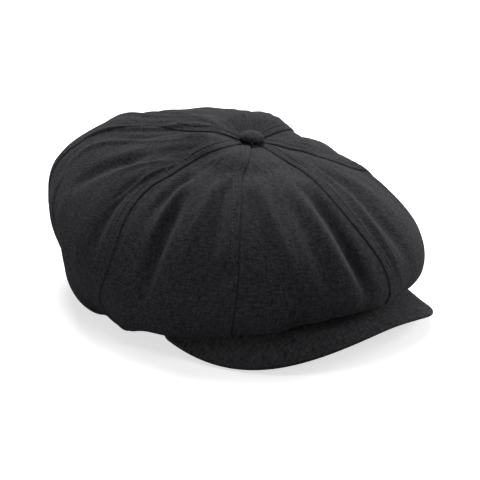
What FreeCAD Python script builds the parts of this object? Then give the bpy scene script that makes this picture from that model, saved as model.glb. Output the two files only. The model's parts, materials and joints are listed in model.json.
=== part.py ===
"""Newsboy cap: eight-panel crown, lining, headband, stiff peak, covered button and press stud.

Row frame, millimetres: +Z up, the front of the cap (the peak) towards -Y, the wearer's left
towards +X.  The cap stands as it lies on a table: on the two side edges of the peak and on the
rear fold of the crown.  The origin is on the table, under the middle of the cap.

The angle phi runs round the cap: 0 at the front, 90 at the wearer's left, 180 at the back.
"""
import FreeCAD
import Part
import math
import os

from FreeCAD import Placement, Rotation, Vector

# ---------------------------------------------------------------- driving dimensions, mm
HEAD_LENGTH = 200.0          # inside of the sweatband, front to back
HEAD_WIDTH = 168.0           # inside of the sweatband, side to side
BAND_HEIGHT = 28.0
BAND_TILT = 11.0             # degrees, front raised, because the peak props it up
BAND_CENTRE = Vector(0, 1.0, 32.5)   # centre of the band's lower edge

SWEATBAND_THICKNESS = 1.2
STIFFENER_THICKNESS = 0.8
HEADBAND_THICKNESS = 2.0
LAYER_GAP = 0.3              # clearance between the layers of the band
SWEATBAND_RISE = 1.0         # the sweatband stands this far above the headband's upper edge
HEADBAND_LIFT = 0.5          # the sweatband reaches this far below the headband
STIFFENER_INSET = 2.0        # the stiffener stops this far short of the headband's edges

CROWN_CLOTH = 1.6            # stand-in thickness of the crown cloth
LINING_CLOTH = 0.8
LINING_GAP = 1.2

PANELS_PER_SIDE = 4
PANEL_ANGLE = 180.0 / PANELS_PER_SIDE
PANEL_NAMES = ("front", "temple", "side", "back")

# The crown is a family of rings, from the button down over the fold and up to the headband.
# Each ring: centre y, half length, half width, height at the front, at the sides, at the back.
# A meridian of the crown is a cubic B-spline with one pole on each ring.
CROWN_RINGS = (
    (-17, 3, 3, 130.5, 130.5, 131.5),
    (-17, 12, 12, 130.5, 131.5, 132.5),
    (-24, 32, 39, 123, 138, 152),
    (-1, 58, 53, 118, 119, 133),
    (13, 119, 83, 110, 115, 124),
    (3, 188, 145, 35, 43, 62),
    (2, 112, 90, 21, -30, 2),
)
# How far each of those rings bulges between two seams, and which way: outward, up.
PANEL_BULGE = (
    (0.0, 0.0),
    (0.0, 0.5),
    (0.6, 3.0),
    (4.2, 4.2),
    (8.0, 2.4),
    (8.0, -1.6),
    (1.5, -5.0),
)
CROWN_SEAM_DROP = 4.0        # the crown is sewn on this far below the band's upper edge
CROWN_SEAM_GAP = 0.3         # between the crown's lower edge and the band
CROWN_PEAK_GAP = 1.1         # the crown's underside lies this far above the peak
CROWN_PEAK_SOFTNESS = 4.0    # how gently the crown's underside bends onto the peak
CONTACT_START = 0.3          # share of the way down where the crown starts to feel the peak
CONTACT_BLEND = 0.3          # and the share over which that grows to its full
PEAK_CONTACT_FULL = 76.0     # degrees: up to here the crown's underside lies on the peak
PEAK_CONTACT_END = 92.0      # degrees: from here on the crown passes behind the peak's end

PEAK_HALF_WIDTH = 111.0
PEAK_REACH = 137.0           # from the widest place forward to the tip
PEAK_WIDEST_Y = -27.0
PEAK_SQUARENESS = 0.88       # exponent of the outline: 1 is an ellipse, less is fuller
PEAK_SEAM_END = 72.0         # degrees: the seam on the band runs from -72 to +72
PEAK_CREST_Z = 37.5          # height of the peak's top on the centre line, at PEAK_CREST_Y
PEAK_CREST_Y = -138.0
PEAK_SLOPE = 0.40            # fall of the peak towards the front
PEAK_ARCH = 0.00500          # fall of the peak towards the sides, per mm squared
PEAK_CORNER_START = 0.93     # share of the half outline where the corner's rounding starts
PEAK_CORNER_REACH = 0.12     # share of the brim width that is left at its very end
PEAK_CLOTH = 0.9
PEAK_BOARD = 1.5
PEAK_SEAM_OFFSET = 3.0       # the seam's distance from the head opening
PEAK_SEAM_GAP = 0.4          # between the band's lower edge and the peak's top
PEAK_LAYER_GAP = 0.05        # between the board and each cloth
BOARD_INSET = 0.03           # the board stops short of the cloth by this share all round

BUTTON_CENTRE = Vector(0, -17.0, 134.1)
BUTTON_LEAN = 8.0            # degrees towards the front
BUTTON_RADIUS = 9.5
BUTTON_HEIGHT = 6.0
BUTTON_COVER = 0.6
BUTTON_SHELL = 0.7
BUTTON_HEM = 2.6             # the cover turns in by this much under the button
BUTTON_BACK_THICKNESS = 1.2
BUTTON_GAP = 0.05            # between the button's cover and what it holds
SHANK_RADIUS = 1.2
SHANK_LENGTH = 11.0

SNAP_Y = -131.0              # the press stud is on the centre line, under the front fold
SNAP_RADIUS = 5.0
SNAP_STUD_BASE = 1.0
SNAP_SEAT_GAP = 0.05
SNAP_NECK_RADIUS = 1.2
SNAP_BALL_RADIUS = 1.7
SNAP_BALL_HEIGHT = 1.9
SNAP_SOCKET_HEIGHT = 2.2
SNAP_SOCKET_BORE = 2.9
SNAP_SOCKET_DEPTH = 1.9
SNAP_CAP_HEIGHT = 0.6
SNAP_GAP = 0.3               # between the stud's base and the socket
SNAP_CAP_GAP = 0.45          # between the crown cloth and the cap on its inside
SNAP_LIFT = 3.0              # the closed stud holds the crown this far above the peak
SNAP_LIFT_RADIUS = 16.0

GRID_ACROSS = 16             # steps across one panel
GRID_DOWN = 26               # steps from the button to the band
PEAK_STEPS_ROUND = 28
PEAK_STEPS_OUT = 6
DERIVATIVE_STEP = 0.002
ARC_STEPS = 12
UNDERSIDE_STEPS = 400


# ---------------------------------------------------------------- helpers
def ring_height(front, side, back, phi):
    """Height that is `front`, `side` and `back` at 0, 90 and 180 degrees."""
    mean = (front + back) / 4 + side / 2
    fore = (front - back) / 2
    cross = (front + back) / 4 - side / 2
    return mean + fore * math.cos(phi) + cross * math.cos(2 * phi)


def spline(poles):
    curve = Part.BSplineCurve()
    curve.buildFromPoles(poles, False, 3)
    return curve


def fit_curve(points):
    """Cubic B-spline through points that are evenly spaced in its parameter."""
    curve = Part.BSplineCurve()
    curve.interpolate(Points=points, Parameters=steps(0.0, 1.0, len(points) - 1))
    return curve


def surface_face(rows):
    """Smooth face through a grid of points, whose borders depend only on the border points."""
    across = [fit_curve(row) for row in rows]
    down = [fit_curve(list(column)) for column in zip(*[curve.getPoles() for curve in across])]
    poles = [list(row) for row in zip(*[curve.getPoles() for curve in down])]
    surface = Part.BSplineSurface()
    surface.buildFromPolesMultsKnots(
        poles, down[0].getMultiplicities(), across[0].getMultiplicities(),
        down[0].getKnots(), across[0].getKnots(), False, False, down[0].Degree, across[0].Degree)
    return surface.toShape()


def thick_sheet(outer_rows, inner_rows):
    """Closed solid between two grids of points with the same numbers of rows and columns."""
    borders = (
        (outer_rows[0], inner_rows[0]),
        (outer_rows[-1], inner_rows[-1]),
        ([row[0] for row in outer_rows], [row[0] for row in inner_rows]),
        ([row[-1] for row in outer_rows], [row[-1] for row in inner_rows]),
    )
    faces = [surface_face(outer_rows), surface_face(inner_rows)]
    faces += [surface_face(border) for border in borders]
    shell = Part.makeShell(faces)
    shell.sewShape()
    solid = Part.makeSolid(shell)
    if solid.Volume < 0:
        solid.reverse()
    return solid


def offset_rows(point, us, vs, depth_top, depth_bottom):
    """Two grids of points, at two depths below the surface point(u, v)."""
    upper = []
    lower = []
    for u in us:
        upper_row = []
        lower_row = []
        for v in vs:
            place = point(u, v)
            inward = inward_normal(point, u, v)
            upper_row.append(place + inward * depth_top)
            lower_row.append(place + inward * depth_bottom)
        upper.append(upper_row)
        lower.append(lower_row)
    return upper, lower


def inward_normal(point, u, v):
    step = DERIVATIVE_STEP
    v_low = max(0.0, v - step)
    v_high = min(1.0, v + step)
    along_u = point(u + step, v) - point(u - step, v)
    along_v = point(u, v_high) - point(u, v_low)
    normal = along_u.cross(along_v)
    return normal.normalize()


def steps(low, high, count):
    return [low + (high - low) * i / count for i in range(count + 1)]


def quarter_arc(radius, base, top):
    """Quarter ellipse in the XZ plane, from (radius, base) up to (0, top)."""
    points = []
    for angle in steps(0.0, math.pi / 2, ARC_STEPS):
        points.append(Vector(radius * math.cos(angle), 0, base + (top - base) * math.sin(angle)))
    return fit_curve(points)


def revolved_dome(outer, inner, foot):
    """Dome between two quarter arcs, closed at its foot by a line through the given points."""
    outer_start, outer_end = outer.value(0.0), outer.value(1.0)
    inner_start, inner_end = inner.value(0.0), inner.value(1.0)
    corners = [inner_start] + [Vector(r, 0, z) for r, z in foot] + [outer_start]
    edges = [outer.toShape(), Part.makeLine(outer_end, inner_end), inner.toShape()]
    edges += [Part.makeLine(p, q) for p, q in zip(corners, corners[1:])]
    face = Part.Face(Part.Wire(Part.__sortEdges__(edges)))
    return face.revolve(Vector(0, 0, 0), Vector(0, 0, 1), 360)


# ---------------------------------------------------------------- headband
BAND_FRAME = Placement(BAND_CENTRE, Rotation(Vector(1, 0, 0), -BAND_TILT))


def band_ring(inner_offset, thickness, low, high):
    """Elliptical ring around the head opening, in the band's own tilted frame."""
    def column(offset):
        curve = Part.Ellipse(Vector(0, 0, low), HEAD_LENGTH / 2 + offset, HEAD_WIDTH / 2 + offset)
        face = Part.Face(Part.Wire([curve.toShape()]))
        face.rotate(Vector(0, 0, low), Vector(0, 0, 1), 90)
        return face.extrude(Vector(0, 0, high - low))
    ring = column(inner_offset + thickness).cut(column(inner_offset)).Solids[0]
    ring.Placement = BAND_FRAME.multiply(ring.Placement)
    return ring


def band_offsets():
    """Distance of each band layer's inner face from the head opening."""
    stiffener = SWEATBAND_THICKNESS + LAYER_GAP
    headband = stiffener + STIFFENER_THICKNESS + LAYER_GAP
    return stiffener, headband


def band_point(phi, offset, height):
    """Point of the band at angle phi, offset from the head opening, above its lower edge."""
    local = Vector(
        (HEAD_WIDTH / 2 + offset) * math.sin(phi),
        -(HEAD_LENGTH / 2 + offset) * math.cos(phi),
        height,
    )
    return BAND_FRAME.multVec(local)


def build_band():
    stiffener_offset, headband_offset = band_offsets()
    return {
        "sweatband": band_ring(0.0, SWEATBAND_THICKNESS, 0.0, BAND_HEIGHT + SWEATBAND_RISE),
        "band_stiffener": band_ring(
            stiffener_offset, STIFFENER_THICKNESS, STIFFENER_INSET, BAND_HEIGHT - STIFFENER_INSET),
        "headband": band_ring(headband_offset, HEADBAND_THICKNESS, HEADBAND_LIFT, BAND_HEIGHT),
    }


# ---------------------------------------------------------------- peak
def peak_top_height(x, y):
    return PEAK_CREST_Z + PEAK_SLOPE * (y - PEAK_CREST_Y) - PEAK_ARCH * x * x


def peak_point(share, out):
    """Point on the peak's top: share runs from -1 to 1 side to side, out from band to rim."""
    seam_angle = math.radians(PEAK_SEAM_END) * share
    seam = band_point(seam_angle, PEAK_SEAM_OFFSET, -PEAK_SEAM_GAP)
    rim_angle = math.pi / 2 * max(-1.0, min(1.0, share))
    sine = abs(math.sin(rim_angle)) ** PEAK_SQUARENESS
    rim_x = math.copysign(PEAK_HALF_WIDTH * sine, share)
    rim_y = PEAK_WIDEST_Y - PEAK_REACH * math.cos(rim_angle) ** PEAK_SQUARENESS
    reach = out * corner_reach(abs(share))
    x = seam.x + (rim_x - seam.x) * reach
    y = seam.y + (rim_y - seam.y) * reach
    seam_step = seam.z - peak_top_height(seam.x, seam.y)
    return Vector(x, y, peak_top_height(x, y) + seam_step * (1 - reach) ** 2)


def corner_reach(share):
    """How much of the brim's width is left near its ends, so that its corners are round."""
    into = (min(share, 1.0) - PEAK_CORNER_START) / (1 - PEAK_CORNER_START)
    if into <= 0:
        return 1.0
    return PEAK_CORNER_REACH + (1 - PEAK_CORNER_REACH) * math.sqrt(max(0.0, 1 - into * into))


def peak_sheet(depth_top, depth_bottom, inset):
    """One layer of the peak, between two depths under its top face."""
    shares = [math.sin(math.radians(a)) * (1 - inset) for a in steps(-90, 90, PEAK_STEPS_ROUND)]
    outs = steps(inset, 1 - inset, PEAK_STEPS_OUT)
    upper = [[peak_point(s, o) + Vector(0, 0, -depth_top) for o in outs] for s in shares]
    lower = [[peak_point(s, o) + Vector(0, 0, -depth_bottom) for o in outs] for s in shares]
    return thick_sheet(upper, lower)


def build_peak():
    board_top = PEAK_CLOTH + PEAK_LAYER_GAP
    board_bottom = board_top + PEAK_BOARD
    under = board_bottom + PEAK_LAYER_GAP
    return {
        "peak_top_cloth": peak_sheet(0.0, PEAK_CLOTH, 0.0),
        "peak_board": peak_sheet(board_top, board_bottom, BOARD_INSET),
        "peak_under_cloth": peak_sheet(under, under + PEAK_CLOTH, 0.0),
    }


# ---------------------------------------------------------------- crown and lining
def crown_poles(phi):
    """Poles of the meridian at angle phi, from the button down to the band."""
    swell = math.sin(math.radians(180 / PANEL_ANGLE) * math.degrees(phi)) ** 2
    poles = []
    for ring, bulge in zip(CROWN_RINGS, PANEL_BULGE):
        centre_y, length, width, front, side, back = ring
        outward = bulge[0] * swell
        poles.append(Vector(
            (width + outward) * math.sin(phi),
            centre_y - (length + outward) * math.cos(phi),
            ring_height(front, side, back, phi) + bulge[1] * swell,
        ))
    outer_face = band_offsets()[1] + HEADBAND_THICKNESS + CROWN_SEAM_GAP
    poles.append(band_point(phi, outer_face, BAND_HEIGHT - CROWN_SEAM_DROP))
    return poles


def crown_point(phi, down):
    """Point of the crown's outer face: down is 0 at the button and 1 at the band."""
    curve = spline(crown_poles(phi))
    place = curve.value(curve.FirstParameter + down * (curve.LastParameter - curve.FirstParameter))
    lowest = peak_top_height(place.x, place.y) + CROWN_PEAK_GAP + snap_lift(place.x, place.y)
    short = lowest - place.z
    lift = (short + math.hypot(short, CROWN_PEAK_SOFTNESS)) / 2
    place.z += lift * peak_contact(phi) * smooth_step((down - CONTACT_START) / CONTACT_BLEND)
    return place


def smooth_step(share):
    share = max(0.0, min(1.0, share))
    return share * share * (3 - 2 * share)


def peak_contact(phi):
    """1 where the crown lies on the peak, 0 behind the peak's ends."""
    past = (abs(math.degrees(phi)) - PEAK_CONTACT_FULL) / (PEAK_CONTACT_END - PEAK_CONTACT_FULL)
    return 1 - smooth_step(past)


def snap_lift(x, y):
    """How far the closed press stud holds the crown off the peak."""
    distance = math.hypot(x, y - SNAP_Y) / SNAP_LIFT_RADIUS
    return SNAP_LIFT * math.exp(-distance ** 4)


def crown_sheet(index, side, depth_top, depth_bottom):
    """One panel, counted from the front, on the left (side 1) or the right (side -1)."""
    low = math.radians(PANEL_ANGLE * index)
    high = math.radians(PANEL_ANGLE * (index + 1))
    downs = steps(0.0, 1.0, GRID_DOWN)
    outer, inner = offset_rows(crown_point, steps(low, high, GRID_ACROSS), downs, depth_top, depth_bottom)
    if side < 0:
        outer = mirrored(outer)
        inner = mirrored(inner)
    return thick_sheet(outer, inner)


def mirrored(rows):
    return [[Vector(-p.x, p.y, p.z) for p in row] for row in rows]


def build_crown():
    shapes = {}
    lining_top = CROWN_CLOTH + LINING_GAP
    for side, side_name in ((1, "left"), (-1, "right")):
        for index, place in enumerate(PANEL_NAMES):
            node = place + "_" + side_name
            shapes["crown_panel_" + node] = crown_sheet(index, side, 0.0, CROWN_CLOTH)
            shapes["lining_panel_" + node] = crown_sheet(index, side, lining_top, lining_top + LINING_CLOTH)
    return shapes


# ---------------------------------------------------------------- button
def build_button():
    """Domed shell covered in crown cloth, closed by a back plate with a shank."""
    hem_radius = BUTTON_RADIUS - BUTTON_HEM
    inside_cover = quarter_arc(BUTTON_RADIUS - BUTTON_COVER, BUTTON_COVER, BUTTON_HEIGHT - BUTTON_COVER)
    cover = revolved_dome(
        quarter_arc(BUTTON_RADIUS, 0.0, BUTTON_HEIGHT), inside_cover,
        ((hem_radius, BUTTON_COVER), (hem_radius, 0.0)))

    inset = BUTTON_COVER + BUTTON_GAP
    inner = inset + BUTTON_SHELL
    shell = revolved_dome(
        quarter_arc(BUTTON_RADIUS - inset, inset, BUTTON_HEIGHT - inset),
        quarter_arc(BUTTON_RADIUS - inner, inset, BUTTON_HEIGHT - inner), ())

    back = Part.makeCylinder(hem_radius - BUTTON_GAP, BUTTON_BACK_THICKNESS)
    shank = Part.makeCylinder(SHANK_RADIUS, SHANK_LENGTH, Vector(0, 0, -SHANK_LENGTH))
    back = back.fuse(shank).removeSplitter().Solids[0]
    pieces = {"button_cover": cover, "button_shell": shell, "button_back": back}
    for shape in pieces.values():
        shape.Placement = Placement(BUTTON_CENTRE, Rotation(Vector(1, 0, 0), BUTTON_LEAN))
    return pieces


# ---------------------------------------------------------------- press stud
def crown_underside(y):
    """Lowest height of the crown's outer face on the front centre line at y."""
    curve = [crown_point(0.0, down) for down in steps(0.5, 1.0, UNDERSIDE_STEPS)]
    return min(a.z for a, b in zip(curve, curve[1:]) if (a.y - y) * (b.y - y) <= 0)


def build_snap():
    """Press stud that holds the crown's front down on the peak: a stud, a socket and its cap."""
    lean = Rotation(Vector(1, 0, 0), math.degrees(math.atan(PEAK_SLOPE)))
    seat = Vector(0, SNAP_Y, peak_top_height(0, SNAP_Y) + SNAP_SEAT_GAP)
    stud = Part.makeCylinder(SNAP_RADIUS, SNAP_STUD_BASE)
    neck = Part.makeCylinder(SNAP_NECK_RADIUS, SNAP_STUD_BASE + SNAP_BALL_HEIGHT)
    ball_foot = Vector(0, 0, SNAP_STUD_BASE + SNAP_BALL_HEIGHT / 2)
    ball = Part.makeCylinder(SNAP_BALL_RADIUS, SNAP_BALL_HEIGHT / 2, ball_foot)
    stud = stud.fuse([neck, ball]).removeSplitter().Solids[0]

    socket_foot = Vector(0, 0, SNAP_STUD_BASE + SNAP_GAP)
    socket = Part.makeCylinder(SNAP_RADIUS, SNAP_SOCKET_HEIGHT, socket_foot)
    socket = socket.cut(Part.makeCylinder(SNAP_SOCKET_BORE, SNAP_SOCKET_DEPTH, socket_foot)).Solids[0]

    lift = crown_underside(SNAP_Y) - seat.z
    cloth_top = lift / math.hypot(1.0, PEAK_SLOPE) + CROWN_CLOTH
    cap_foot = Vector(0, 0, cloth_top + SNAP_CAP_GAP)
    cap = Part.makeCylinder(SNAP_RADIUS, SNAP_CAP_HEIGHT, cap_foot)
    pieces = {"snap_stud": stud, "snap_socket": socket, "snap_cap": cap}
    for shape in pieces.values():
        shape.Placement = Placement(seat, lean).multiply(shape.Placement)
    return pieces


# ---------------------------------------------------------------- write
def main():
    os.makedirs("parts", exist_ok=True)
    shapes = {}
    for build in (build_band, build_peak, build_crown, build_button, build_snap):
        shapes.update(build())
    for node, shape in shapes.items():
        shape.exportStep("parts/" + node + ".step")
        box = shape.optimalBoundingBox()
        print(node, shape.ShapeType, shape.isValid(), round(shape.Volume), "x", round(box.XMin, 1),
              round(box.XMax, 1), "y", round(box.YMin, 1), round(box.YMax, 1), "z", round(box.ZMin, 1),
              round(box.ZMax, 1))


main()
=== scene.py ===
"""Newsboy cap: the looks of an eight-panel cap of near-black twill, built around its CAD frame.

Everything is worked out in millimetres in the part's own frame (+Z up, the front towards -Y, the
wearer's left towards +X) and put into the meshes in metres.  The angle phi runs round the cap in
degrees: 0 at the front, 90 at the wearer's left, -90 at the wearer's right, 180 at the back.  On the
crown, `down` runs from 0 at the button over the fold to 1 at the headband.
"""
import json
import math

import bpy
import numpy as np
from mathutils import Matrix, Vector, noise


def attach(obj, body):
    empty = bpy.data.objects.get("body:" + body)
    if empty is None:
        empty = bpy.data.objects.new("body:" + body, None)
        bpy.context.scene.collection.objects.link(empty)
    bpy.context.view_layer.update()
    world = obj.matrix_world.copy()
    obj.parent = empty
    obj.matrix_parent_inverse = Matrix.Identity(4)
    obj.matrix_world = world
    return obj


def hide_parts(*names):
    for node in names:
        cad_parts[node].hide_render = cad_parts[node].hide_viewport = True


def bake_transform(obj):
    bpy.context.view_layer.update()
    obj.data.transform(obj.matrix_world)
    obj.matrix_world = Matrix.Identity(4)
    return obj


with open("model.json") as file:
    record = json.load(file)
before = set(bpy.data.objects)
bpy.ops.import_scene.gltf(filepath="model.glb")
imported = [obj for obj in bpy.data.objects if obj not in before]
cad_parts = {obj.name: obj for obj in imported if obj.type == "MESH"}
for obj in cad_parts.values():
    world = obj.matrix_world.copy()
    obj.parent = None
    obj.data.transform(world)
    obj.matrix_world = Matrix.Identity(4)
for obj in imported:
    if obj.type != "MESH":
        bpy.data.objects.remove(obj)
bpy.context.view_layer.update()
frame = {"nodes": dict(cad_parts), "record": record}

MM = 0.001

# ---------------------------------------------------------------- driving dimensions, mm
HEAD_LENGTH = 200.0
HEAD_WIDTH = 168.0
BAND_HEIGHT = 28.0
BAND_TILT = math.radians(11.0)
BAND_CENTRE = np.array((0.0, 1.0, 32.5))
SWEATBAND_THICKNESS = 1.2
HEADBAND_OFFSET = 2.6        # from the inside of the sweatband to the inside of the headband
HEADBAND_THICKNESS = 2.0
HEADBAND_LIFT = 0.5          # the sweatband reaches this far below the headband
SWEATBAND_RISE = 1.0         # and this far above it
HEADBAND_STITCHING = ((4.0, -0.3),)     # height and depth of the line along the headband
CROWN_SEAM_OFFSET = 4.9      # where the crown meets the headband, from the inside of the sweatband
CROWN_SEAM_HEIGHT = 24.0     # and above the headband's lower edge

# Rings of the crown: centre y, half length, half width, height at the front, sides and back.
# PANEL_BULGE says how far the middle of a panel stands out of each ring, and above it.
CROWN_RINGS = (
    (-17, 3, 3, 130.5, 130.5, 131.5),
    (-17, 12, 12, 130.5, 131.5, 132.5),
    (-24, 32, 39, 123, 138, 152),
    (-1, 58, 53, 118, 119, 133),
    (13, 119, 83, 110, 115, 124),
    (3, 188, 145, 35, 43, 62),
    (2, 112, 90, 21, -30, 2),
)
PANEL_BULGE = ((0.0, 0.0), (0.0, 0.5), (0.6, 3.0), (4.2, 4.2), (8.0, 2.4), (8.0, -1.6), (1.5, -5.0))
PANEL_ANGLE = 45.0
PANEL_NAMES = ("front", "temple", "side", "back")
BACK_SEAM = len(PANEL_NAMES)
CROWN_CLOTH = 1.0
CROWN_PEAK_GAP = 0.7
CROWN_PEAK_SOFTNESS = 4.0    # how gently the smooth crown is lifted onto the peak
CROWN_EDGE_ROLL = 10.0       # how widely the crown rounds under where it lies on the peak
CROWN_FLOOR_GAP = 0.2        # the cloth stays this far above what the cap lies on
CROWN_FLOOR_ROLL = 0.6       # and rounds under this widely there
PEAK_CONTACT_FULL = 76.0     # degrees: up to here the crown lies on the peak
PEAK_CONTACT_END = 92.0      # degrees: from here on it passes behind the peak's end

PEAK_HALF_WIDTH = 111.0
PEAK_REACH = 137.0
PEAK_WIDEST_Y = -27.0
PEAK_SQUARENESS = 0.88
PEAK_SEAM_END = 72.0
PEAK_CREST_Z = 37.5
PEAK_CREST_Y = -138.0
PEAK_SLOPE = 0.40
PEAK_ARCH = 0.00500
PEAK_CORNER_START = 0.93
PEAK_CORNER_REACH = 0.12
PEAK_CLOTH = 0.72
PEAK_THICKNESS = 3.4
PEAK_SEAM_GAP = 0.4
PEAK_SEAM_OFFSET = 3.0       # the seam's distance from the inside of the sweatband
PEAK_EDGE = 0.985            # from this share of the brim on, the cloth turns round the board's rim
PEAK_EDGE_SEAM = 0.950       # the seam allowance shows through as a line at this share of the brim
PEAK_EDGE_ROLL = 0.30        # outside it the cloth stands this much higher
PEAK_EDGE_DIP = 0.25         # and along it, this much lower
PEAK_RIPPLE = 0.35           # height of the peak cloth's slight unevenness

TAPE_THICKNESS = 0.35
TAPE_GAP = 0.15              # between the tape and the headband
TAPE_ON_BAND = 9.0           # the tape starts this far above the headband's lower edge
TAPE_UNDER_SEAM = 1.6        # and ends this far below the peak's seam
TAPE_FIXED = 8.0             # the tape's point at the front is taken at this height

SNAP_Y = -131.0
SNAP_LIFT = 3.0              # the crown passes over the press stud this much higher
SNAP_LIFT_RADIUS = 16.0

BUTTON_CENTRE = Vector((0.0, -17.0, 134.1))
BUTTON_LEAN = math.radians(8.0)
BUTTON_RADIUS = 9.5
BUTTON_HEIGHT = 6.0
BUTTON_HEM_RADIUS = 6.9
BUTTON_TUCK_RADIUS = 8.1     # the cloth lies flat under the button from here to its hem
BUTTON_HEM_HEIGHT = 0.05
BUTTON_EDGE_RADIUS = 0.9     # the cloth turns under the button's edge with this radius
BUTTON_EDGE_HEIGHT = 0.85    # and the button is widest at this height
BUTTON_CLOTH = 0.45

PANEL_SWELL_BASE = 0.50      # fullness of the crown on a seam, as a share of PANEL_BULGE
PANEL_SWELL_RISE = 0.38      # and how much more of it in the middle of a panel
SEAM_DEPTH = 0.45            # how deep the seams lie at the front and the temples
SEAM_DEPTH_BACK = 0.25       # and at the back, where the cloth is gathered into ridges
SEAM_GROOVE = 0.5            # half width of the groove on a seam
SEAM_PUCKER = 0.16           # the cloth beside a seam is drawn up by the stitches this much
SEAM_ALLOWANCE = 6.0         # the topstitching runs this far behind each seam
SEAM_ALLOWANCE_RISE = 0.7    # over the allowance the cloth stands this much higher
SEAM_STITCH_DIP = 0.6        # and along the topstitching it is pulled down again
SEAM_CALM = 14.0             # the small wrinkles fade within this distance of a seam
STITCH_PITCH = 3.2
STITCH_LENGTH = 2.2
STITCH_RADIUS = 0.26
STITCH_SHARES = (0.0, 0.18, 0.5, 0.82, 1.0)         # places along a stitch
STITCH_RISES = (-0.35, 0.05, 0.2, 0.05, -0.35)      # how high the thread lies at each
STITCH_FULLNESS = (0.5, 0.95, 1.0, 0.95, 0.5)       # and its share of STITCH_RADIUS there
STITCH_SIDES = 6
STITCH_ROOM = 1.6            # none where the panel is narrower than this many seam allowances

LINING_CLOTH = 0.5
LINING_GAP = 3.2
LINING_SAG = 2.2             # the lining hangs this much lower than LINING_GAP
LINING_CREASE = 3.2          # and its creases reach this much lower still

# Wrinkles: waves round the cap, waves down it, and a place in the noise of their own.
LONG_CREASES = (4.6, 3.0, 11.0)
SHORT_CREASES = (11.0, 9.0, 47.0)
GATHERS = (9.0, 2.0, 83.0)
LINING_CREASES = (7.0, 5.0, 131.0)
LONG_CREASE_HEIGHT = 0.9
SHORT_CREASE_HEIGHT = 0.7
BUTTON_GATHER_HEIGHT = 0.5
BAND_GATHER_HEIGHT = 1.3

# How each seam of the crown leans as the cap lies, in degrees: (down, lean) points.
SEAM_LEAN = {
    0: ((0, 0), (0.17, -2), (0.38, 1.4), (0.48, -0.5), (0.55, -2.4), (0.62, -3), (0.67, -1),
        (0.72, 0.8), (1, 0)),
    -1: ((0, 0), (0.2, 0.3), (0.35, 1.6), (0.54, -0.2), (0.61, -1.8), (0.68, -3), (0.76, -4),
         (0.84, -6), (1, 0)),
    -2: ((0, 0), (0.17, 6), (0.29, 3), (0.4, 5.6), (0.49, 7.5), (0.57, 4), (0.65, 2), (0.7, 2.6),
         (0.77, 0.8), (0.84, -8), (1, 0)),
    -3: ((0, 0), (0.07, 4), (0.24, 9), (0.41, -12), (0.5, -8), (0.59, -4), (0.66, -6), (0.8, -6),
         (1, 0)),
    1: ((0, 0), (0.15, -14), (0.28, -8), (0.44, -5), (0.52, -4), (0.62, 7), (0.7, 15), (0.76, 16),
        (1, 0)),
    2: ((0, 0), (0.3, -4), (0.6, 5), (0.8, 3), (1, 0)),
    3: ((0, 0), (0.3, 4), (0.6, -4), (0.8, -6), (1, 0)),
    4: ((0, 0), (0.3, 3), (0.6, -3), (1, 0)),
}

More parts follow.
